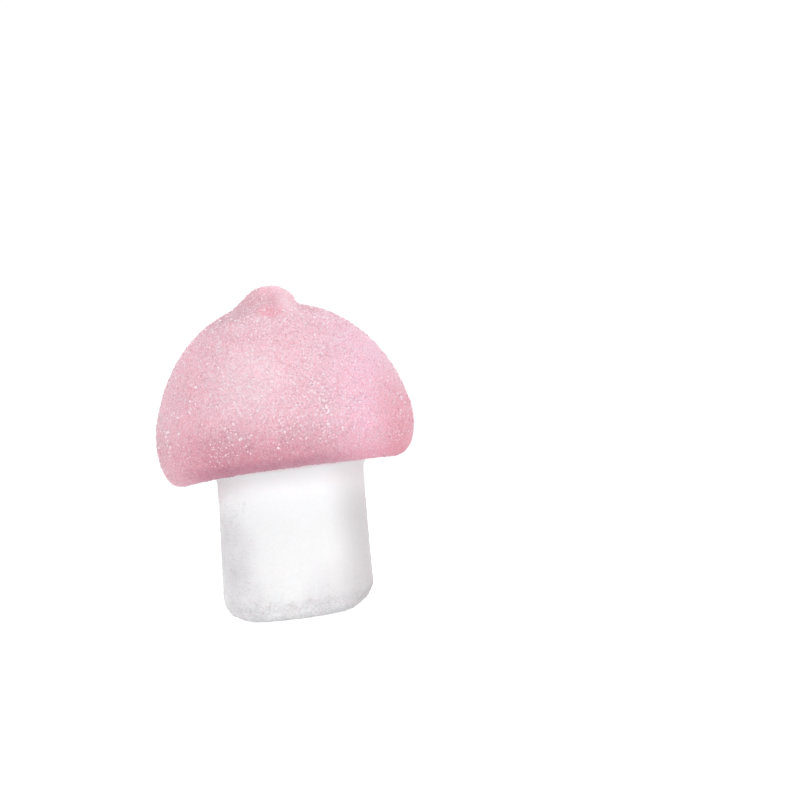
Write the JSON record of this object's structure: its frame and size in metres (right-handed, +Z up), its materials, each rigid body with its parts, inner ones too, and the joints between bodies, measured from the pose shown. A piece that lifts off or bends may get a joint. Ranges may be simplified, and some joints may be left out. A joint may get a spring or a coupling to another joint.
{
  "type": "mushroom-shaped marshmallow",
  "caption": "Mushroom-shaped marshmallow standing upright: a pink domed cap with a small curled tip on a short white stem, rolled in sugar.",
  "frame": {"origin": "on the ground under the middle of the whole piece's box, about 1 mm to the right of the foot's centre", "axes": "+Z up through the curled tip, -Y the front that shows the fold of the tip, +X the side to which the stem leans and the tip curls"},
  "size_m": [0.0354, 0.0354, 0.0454],
  "materials": {
    "pink_foam": "soft matt pink marshmallow foam under a crust of sugar",
    "white_foam": "soft matt white marshmallow foam under a crust of sugar",
    "sugar": "fine sugar crystals, bright and slightly glinting"
  },
  "bodies": {
    "root": {"cap": "pink_foam", "stem": "white_foam"}
  },
  "joints": []
}
